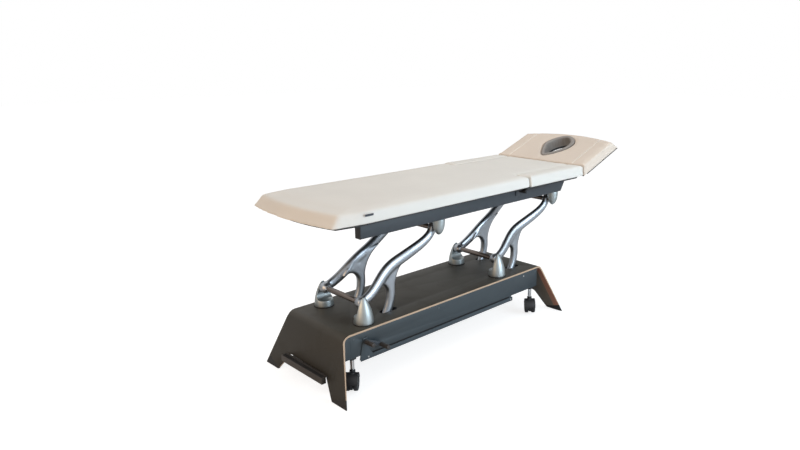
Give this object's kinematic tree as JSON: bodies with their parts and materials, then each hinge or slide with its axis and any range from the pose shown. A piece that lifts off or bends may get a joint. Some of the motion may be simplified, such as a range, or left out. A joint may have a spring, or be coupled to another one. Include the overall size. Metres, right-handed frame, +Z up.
{
  "type": "treatment couch",
  "caption": "Height-adjustable treatment couch on a bent plywood base, with curved cast lift arms, tilting headrest with face opening, drop-down side pads and retractable castors.",
  "frame": {"origin": "on the floor, under the middle of the couch's length and width", "axes": "+X towards the headrest, +Y away from the pedal side, +Z up"},
  "size_m": [2.094, 0.65, 0.9431],
  "materials": {
    "ply": "dark laminate over bent plywood with pale ply edges, satin",
    "foot_rubber": "matte black rubber",
    "panel_paint": "blue grey powder coat, satin",
    "strip_paint": "light blue grey powder coat, satin",
    "chassis_paint": "black powder coat, matte",
    "screw_steel": "bright zinc plated steel",
    "cast_alloy": "polished cast aluminium, softly brushed",
    "tube_steel": "satin steel",
    "chrome": "bright chrome",
    "frame_paint": "dark blue grey powder coat, satin",
    "black_plastic": "matte black moulded plastic",
    "wheel_plastic": "black nylon wheel with a soft tread",
    "board_black": "black laminated board",
    "cover_cream": "pale cream leather-like cover, fine grain",
    "cover_beige": "pale beige leather-like cover, fine grain",
    "rim_taupe": "grey brown leather-like cover, fine grain",
    "tag_cloth": "plain woven tab",
    "bar_paint": "grey brown metallic coat, satin"
  },
  "bodies": {
    "base": {"ply_shell": "ply", "foot_caps": "foot_rubber", "slot_liners": "black_plastic", "chassis_frame": "chassis_paint", "side_panels": "panel_paint", "lower_rails": "strip_paint", "panel_screws": "screw_steel", "control_box": "black_plastic", "mains_inlet": "black_plastic", "pedestal_gaskets": "foot_rubber", "pedestal_foot_near": "cast_alloy", "pedestal_foot_far": "cast_alloy", "pedestal_head_near": "cast_alloy", "pedestal_head_far": "cast_alloy", "actuator_housing": "black_plastic"},
    "lift_foot": {"lift_arm_foot_near": "cast_alloy", "lift_arm_foot_far": "cast_alloy", "cross_tubes_foot": "tube_steel"},
    "lift_head": {"lift_arm_head_near": "cast_alloy", "lift_arm_head_far": "cast_alloy", "cross_tubes_head": "tube_steel"},
    "drive_rod": {"actuator_rod": "tube_steel"},
    "arm_tie": {"tie_rod": "tube_steel"},
    "top_frame": {"top_rail_near": "frame_paint", "top_rail_far": "frame_paint", "rail_end_caps": "black_plastic", "cross_members": "frame_paint", "top_brackets": "cast_alloy", "joint_covers": "black_plastic", "main_board": "board_black", "main_cushion": "cover_cream", "side_tag": "tag_cloth", "head_hinge_lugs": "frame_paint", "pad_hinge_brackets": "frame_paint"},
    "headrest": {"head_frame": "frame_paint", "head_board": "board_black", "head_cushion": "cover_beige", "face_rim": "rim_taupe"},
    "pad_near": {"pad_cushion_near": "cover_cream", "pad_board_near": "board_black"},
    "pad_far": {"pad_cushion_far": "cover_cream", "pad_board_far": "board_black"},
    "foot_bar": {"foot_end_bar": "bar_paint"},
    "pedal": {"castor_pedal": "frame_paint", "pedal_pegs": "black_plastic"},
    "links": {"castor_links": "tube_steel"},
    "castor_lift_foot_near": {"castor_stem_foot_near": "chrome"},
    "castor_swivel_foot_near": {"castor_hood_foot_near": "black_plastic"},
    "castor_roll_foot_near": {"castor_wheels_foot_near": "wheel_plastic"},
    "castor_lift_foot_far": {"castor_stem_foot_far": "chrome"},
    "castor_swivel_foot_far": {"castor_hood_foot_far": "black_plastic"},
    "castor_roll_foot_far": {"castor_wheels_foot_far": "wheel_plastic"},
    "castor_lift_head_near": {"castor_stem_head_near": "chrome"},
    "castor_swivel_head_near": {"castor_hood_head_near": "black_plastic"},
    "castor_roll_head_near": {"castor_wheels_head_near": "wheel_plastic"},
    "castor_lift_head_far": {"castor_stem_head_far": "chrome"},
    "castor_swivel_head_far": {"castor_hood_head_far": "black_plastic"},
    "castor_roll_head_far": {"castor_wheels_head_far": "wheel_plastic"}
  },
  "joints": [
    {"name": "lift", "type": "hinge", "parent": "base", "child": "lift_foot", "pos_m": [-0.76402, 0, 0.36], "axis": [0, -1, 0], "range_deg": [-35, 15]},
    {"name": "lift_head_pair", "type": "hinge", "parent": "base", "child": "lift_head", "pos_m": [0.12798, 0, 0.36], "axis": [0, -1, 0], "range_deg": [-35, 15]},
    {"name": "top_level", "type": "hinge", "parent": "lift_foot", "child": "top_frame", "pos_m": [-0.33606, 0, 0.62431], "axis": [0, -1, 0], "range_deg": [-15, 35]},
    {"name": "tie_level", "type": "hinge", "parent": "lift_foot", "child": "arm_tie", "pos_m": [-0.71484, 0, 0.17647], "axis": [0, -1, 0], "range_deg": [-15, 35]},
    {"name": "drive", "type": "slide", "parent": "base", "child": "drive_rod", "axis": [1, 0, 0], "range_m": [-0.112, 0.048]},
    {"name": "headrest_tilt", "type": "hinge", "parent": "top_frame", "child": "headrest", "pos_m": [0.66398, 0, 0.752], "axis": [0, -1, 0], "range_deg": [-80, 5]},
    {"name": "pad_near_drop", "type": "hinge", "parent": "top_frame", "child": "pad_near", "pos_m": [0.20398, -0.262, 0.7367], "axis": [0, 1, 0], "range_deg": [0, 50]},
    {"name": "pad_far_drop", "type": "hinge", "parent": "top_frame", "child": "pad_far", "pos_m": [0.20398, 0.262, 0.7367], "axis": [0, 1, 0], "range_deg": [0, 50]},
    {"name": "foot_bar_rock", "type": "hinge", "parent": "base", "child": "foot_bar", "pos_m": [-0.86402, 0, 0.072], "axis": [0, -1, 0], "range_deg": [-4, 4], "stiffness_Nm_per_rad": 150},
    {"name": "castor_pedal_rock", "type": "hinge", "parent": "base", "child": "pedal", "pos_m": [-0.76802, -0.22, 0.198], "axis": [0, -1, 0], "range_deg": [0, 47]},
    {"name": "castor_link_slide", "type": "slide", "parent": "base", "child": "links", "axis": [1, 0, 0], "range_m": [0, 0.025]},
    {"name": "castor_drop_foot_near", "type": "slide", "parent": "base", "child": "castor_lift_foot_near", "axis": [0, 0, -1], "range_m": [0, 0.0134]},
    {"name": "castor_turn_foot_near", "type": "hinge", "parent": "castor_lift_foot_near", "child": "castor_swivel_foot_near", "pos_m": [-0.86802, -0.198, 0.09], "axis": [0, 0, 1], "continuous": true},
    {"name": "castor_wheel_foot_near", "type": "hinge", "parent": "castor_swivel_foot_near", "child": "castor_roll_foot_near", "pos_m": [-0.88358, -0.21356, 0.05], "axis": [0.7071, -0.7071, 0], "continuous": true},
    {"name": "castor_drop_foot_far", "type": "slide", "parent": "base", "child": "castor_lift_foot_far", "axis": [0, 0, -1], "range_m": [0, 0.0134]},
    {"name": "castor_turn_foot_far", "type": "hinge", "parent": "castor_lift_foot_far", "child": "castor_swivel_foot_far", "pos_m": [-0.86802, 0.198, 0.09], "axis": [0, 0, 1], "continuous": true},
    {"name": "castor_wheel_foot_far", "type": "hinge", "parent": "castor_swivel_foot_far", "child": "castor_roll_foot_far", "pos_m": [-0.88358, 0.18244, 0.05], "axis": [0.7071, -0.7071, 0], "continuous": true},
    {"name": "castor_drop_head_near", "type": "slide", "parent": "base", "child": "castor_lift_head_near", "axis": [0, 0, -1], "range_m": [0, 0.0134]},
    {"name": "castor_turn_head_near", "type": "hinge", "parent": "castor_lift_head_near", "child": "castor_swivel_head_near", "pos_m": [0.35798, -0.198, 0.09], "axis": [0, 0, 1], "continuous": true},
    {"name": "castor_wheel_head_near", "type": "hinge", "parent": "castor_swivel_head_near", "child": "castor_roll_head_near", "pos_m": [0.34242, -0.21356, 0.05], "axis": [0.7071, -0.7071, 0], "continuous": true},
    {"name": "castor_drop_head_far", "type": "slide", "parent": "base", "child": "castor_lift_head_far", "axis": [0, 0, -1], "range_m": [0, 0.0134]},
    {"name": "castor_turn_head_far", "type": "hinge", "parent": "castor_lift_head_far", "child": "castor_swivel_head_far", "pos_m": [0.35798, 0.198, 0.09], "axis": [0, 0, 1], "continuous": true},
    {"name": "castor_wheel_head_far", "type": "hinge", "parent": "castor_swivel_head_far", "child": "castor_roll_head_far", "pos_m": [0.34242, 0.18244, 0.05], "axis": [0.7071, -0.7071, 0], "continuous": true}
  ],
  "couplings": [
    {"joint": "lift_head_pair", "follows": "lift", "ratio": 1},
    {"joint": "top_level", "follows": "lift", "ratio": -1},
    {"joint": "tie_level", "follows": "lift", "ratio": -1},
    {"joint": "drive", "follows": "lift", "m_per_rad": 0.1833},
    {"joint": "castor_link_slide", "follows": "castor_pedal_rock", "m_per_rad": 0.0304},
    {"joint": "castor_drop_foot_near", "follows": "castor_pedal_rock", "m_per_rad": 0.01633},
    {"joint": "castor_drop_foot_far", "follows": "castor_pedal_rock", "m_per_rad": 0.01633},
    {"joint": "castor_drop_head_near", "follows": "castor_pedal_rock", "m_per_rad": 0.01633},
    {"joint": "castor_drop_head_far", "follows": "castor_pedal_rock", "m_per_rad": 0.01633}
  ]
}
